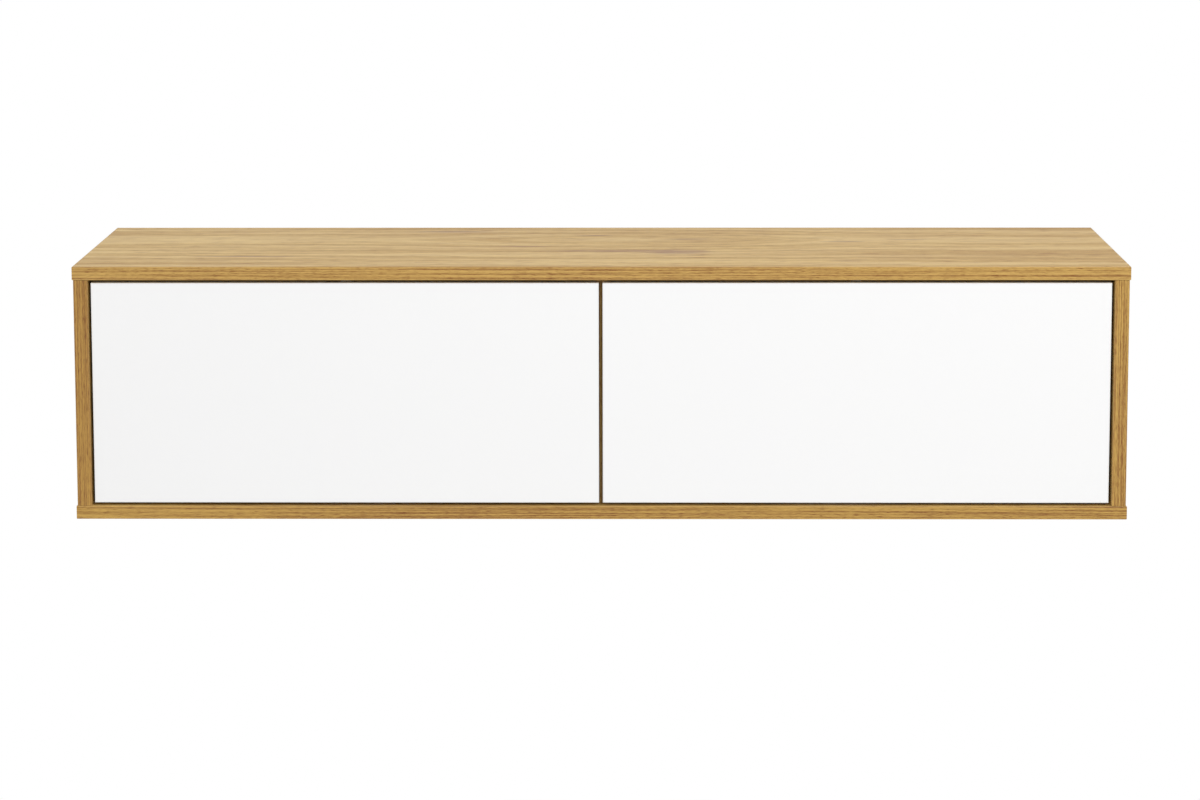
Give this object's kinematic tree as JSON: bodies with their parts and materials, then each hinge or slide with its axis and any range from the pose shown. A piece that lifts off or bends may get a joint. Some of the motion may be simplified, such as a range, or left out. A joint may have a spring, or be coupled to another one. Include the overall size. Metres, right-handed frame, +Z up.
{
  "type": "floating media console",
  "caption": "Wall-hung media console: oak-decor box with two white handleless drop-down flaps on concealed hinges and damped stays, hung by hooks on a wall rail.",
  "frame": {"origin": "centre of the flat back face of the wall rail, on the wall plane", "axes": "+X along the console to the right as seen from the front, +Y into the wall, +Z up; the flaps face -Y"},
  "size_m": [1.4, 0.4, 0.34],
  "materials": {
    "oak_decor": "light oak decor, matt",
    "white_laminate": "white matt laminate on board",
    "hardboard": "raw brown hardboard",
    "nickel_steel": "nickel-plated steel",
    "zinc_steel": "zinc-plated steel",
    "grey_plastic": "moulded grey plastic"
  },
  "bodies": {
    "carcass": {"top_panel": "oak_decor", "bottom_panel": "oak_decor", "left_side_panel": "oak_decor", "right_side_panel": "oak_decor", "centre_partition": "oak_decor", "back_panel": "hardboard", "wall_rail": "zinc_steel", "left_latch_housing": "grey_plastic", "left_hanger_body": "grey_plastic", "left_hanger_hook": "zinc_steel", "right_latch_housing": "grey_plastic", "right_hanger_body": "grey_plastic", "right_hanger_hook": "zinc_steel", "left_outer_hinge_arm": "nickel_steel", "left_outer_hinge_plate": "nickel_steel", "left_outer_stay_housing": "grey_plastic", "left_inner_hinge_arm": "nickel_steel", "left_inner_hinge_plate": "nickel_steel", "left_inner_stay_housing": "grey_plastic", "right_outer_hinge_arm": "nickel_steel", "right_outer_hinge_plate": "nickel_steel", "right_outer_stay_housing": "grey_plastic", "right_inner_hinge_arm": "nickel_steel", "right_inner_hinge_plate": "nickel_steel", "right_inner_stay_housing": "grey_plastic"},
    "left_flap": {"left_flap": "white_laminate", "left_latch_strike": "nickel_steel", "left_outer_hinge_cup": "nickel_steel", "left_outer_stay_bracket": "nickel_steel", "left_inner_hinge_cup": "nickel_steel", "left_inner_stay_bracket": "nickel_steel"},
    "right_flap": {"right_flap": "white_laminate", "right_latch_strike": "nickel_steel", "right_outer_hinge_cup": "nickel_steel", "right_outer_stay_bracket": "nickel_steel", "right_inner_hinge_cup": "nickel_steel", "right_inner_stay_bracket": "nickel_steel"},
    "left_outer_hinge_link": {"left_outer_hinge_link": "nickel_steel"},
    "left_outer_stay_lever": {"left_outer_stay_lever": "nickel_steel"},
    "left_outer_stay_link": {"left_outer_stay_link": "nickel_steel"},
    "left_inner_hinge_link": {"left_inner_hinge_link": "nickel_steel"},
    "left_inner_stay_lever": {"left_inner_stay_lever": "nickel_steel"},
    "left_inner_stay_link": {"left_inner_stay_link": "nickel_steel"},
    "left_latch_plunger": {"left_latch_plunger": "grey_plastic"},
    "right_outer_hinge_link": {"right_outer_hinge_link": "nickel_steel"},
    "right_outer_stay_lever": {"right_outer_stay_lever": "nickel_steel"},
    "right_outer_stay_link": {"right_outer_stay_link": "nickel_steel"},
    "right_inner_hinge_link": {"right_inner_hinge_link": "nickel_steel"},
    "right_inner_stay_lever": {"right_inner_stay_lever": "nickel_steel"},
    "right_inner_stay_link": {"right_inner_stay_link": "nickel_steel"},
    "right_latch_plunger": {"right_latch_plunger": "grey_plastic"}
  },
  "joints": [
    {"name": "left_flap_hinge", "type": "hinge", "parent": "carcass", "child": "left_flap", "pos_m": [-0.339, -0.394, -0.233], "axis": [1, 0, 0], "range_deg": [0, 90]},
    {"name": "right_flap_hinge", "type": "hinge", "parent": "carcass", "child": "right_flap", "pos_m": [0.339, -0.394, -0.233], "axis": [1, 0, 0], "range_deg": [0, 90]},
    {"name": "left_outer_hinge_link_pivot", "type": "hinge", "parent": "carcass", "child": "left_outer_hinge_link", "pos_m": [-0.5755, -0.3784, -0.2122], "axis": [1, 0, 0], "range_deg": [-27, 0]},
    {"name": "left_outer_stay_lever_pivot", "type": "hinge", "parent": "carcass", "child": "left_outer_stay_lever", "pos_m": [-0.6655, -0.324, -0.173], "axis": [1, 0, 0], "range_deg": [0, 90]},
    {"name": "left_outer_stay_link_pivot", "type": "hinge", "parent": "left_outer_stay_lever", "child": "left_outer_stay_link", "pos_m": [-0.6655, -0.298, -0.053], "axis": [1, 0, 0], "range_deg": [-90, 0]},
    {"name": "left_inner_hinge_link_pivot", "type": "hinge", "parent": "carcass", "child": "left_inner_hinge_link", "pos_m": [-0.1025, -0.3784, -0.2122], "axis": [1, 0, 0], "range_deg": [-27, 0]},
    {"name": "left_inner_stay_lever_pivot", "type": "hinge", "parent": "carcass", "child": "left_inner_stay_lever", "pos_m": [-0.023, -0.324, -0.173], "axis": [1, 0, 0], "range_deg": [0, 90]},
    {"name": "left_inner_stay_link_pivot", "type": "hinge", "parent": "left_inner_stay_lever", "child": "left_inner_stay_link", "pos_m": [-0.023, -0.298, -0.053], "axis": [1, 0, 0], "range_deg": [-90, 0]},
    {"name": "left_latch_plunger_slide", "type": "slide", "parent": "carcass", "child": "left_latch_plunger", "axis": [0, -1, 0], "range_m": [0, 0.02]},
    {"name": "right_outer_hinge_link_pivot", "type": "hinge", "parent": "carcass", "child": "right_outer_hinge_link", "pos_m": [0.5755, -0.3784, -0.2122], "axis": [1, 0, 0], "range_deg": [-27, 0]},
    {"name": "right_outer_stay_lever_pivot", "type": "hinge", "parent": "carcass", "child": "right_outer_stay_lever", "pos_m": [0.6655, -0.324, -0.173], "axis": [1, 0, 0], "range_deg": [0, 90]},
    {"name": "right_outer_stay_link_pivot", "type": "hinge", "parent": "right_outer_stay_lever", "child": "right_outer_stay_link", "pos_m": [0.6655, -0.298, -0.053], "axis": [1, 0, 0], "range_deg": [-90, 0]},
    {"name": "right_inner_hinge_link_pivot", "type": "hinge", "parent": "carcass", "child": "right_inner_hinge_link", "pos_m": [0.1025, -0.3784, -0.2122], "axis": [1, 0, 0], "range_deg": [-27, 0]},
    {"name": "right_inner_stay_lever_pivot", "type": "hinge", "parent": "carcass", "child": "right_inner_stay_lever", "pos_m": [0.023, -0.324, -0.173], "axis": [1, 0, 0], "range_deg": [0, 90]},
    {"name": "right_inner_stay_link_pivot", "type": "hinge", "parent": "right_inner_stay_lever", "child": "right_inner_stay_link", "pos_m": [0.023, -0.298, -0.053], "axis": [1, 0, 0], "range_deg": [-90, 0]},
    {"name": "right_latch_plunger_slide", "type": "slide", "parent": "carcass", "child": "right_latch_plunger", "axis": [0, -1, 0], "range_m": [0, 0.02]}
  ],
  "couplings": [
    {"joint": "left_outer_hinge_link_pivot", "follows": "left_flap_hinge", "ratio": -0.29761},
    {"joint": "left_outer_stay_lever_pivot", "follows": "left_flap_hinge", "ratio": 1},
    {"joint": "left_outer_stay_link_pivot", "follows": "left_flap_hinge", "ratio": -1},
    {"joint": "left_inner_hinge_link_pivot", "follows": "left_flap_hinge", "ratio": -0.29761},
    {"joint": "left_inner_stay_lever_pivot", "follows": "left_flap_hinge", "ratio": 1},
    {"joint": "left_inner_stay_link_pivot", "follows": "left_flap_hinge", "ratio": -1},
    {"joint": "left_latch_plunger_slide", "follows": "left_flap_hinge", "m_per_rad": 0.0127},
    {"joint": "right_outer_hinge_link_pivot", "follows": "right_flap_hinge", "ratio": -0.29761},
    {"joint": "right_outer_stay_lever_pivot", "follows": "right_flap_hinge", "ratio": 1},
    {"joint": "right_outer_stay_link_pivot", "follows": "right_flap_hinge", "ratio": -1},
    {"joint": "right_inner_hinge_link_pivot", "follows": "right_flap_hinge", "ratio": -0.29761},
    {"joint": "right_inner_stay_lever_pivot", "follows": "right_flap_hinge", "ratio": 1},
    {"joint": "right_inner_stay_link_pivot", "follows": "right_flap_hinge", "ratio": -1},
    {"joint": "right_latch_plunger_slide", "follows": "right_flap_hinge", "m_per_rad": 0.0127}
  ]
}
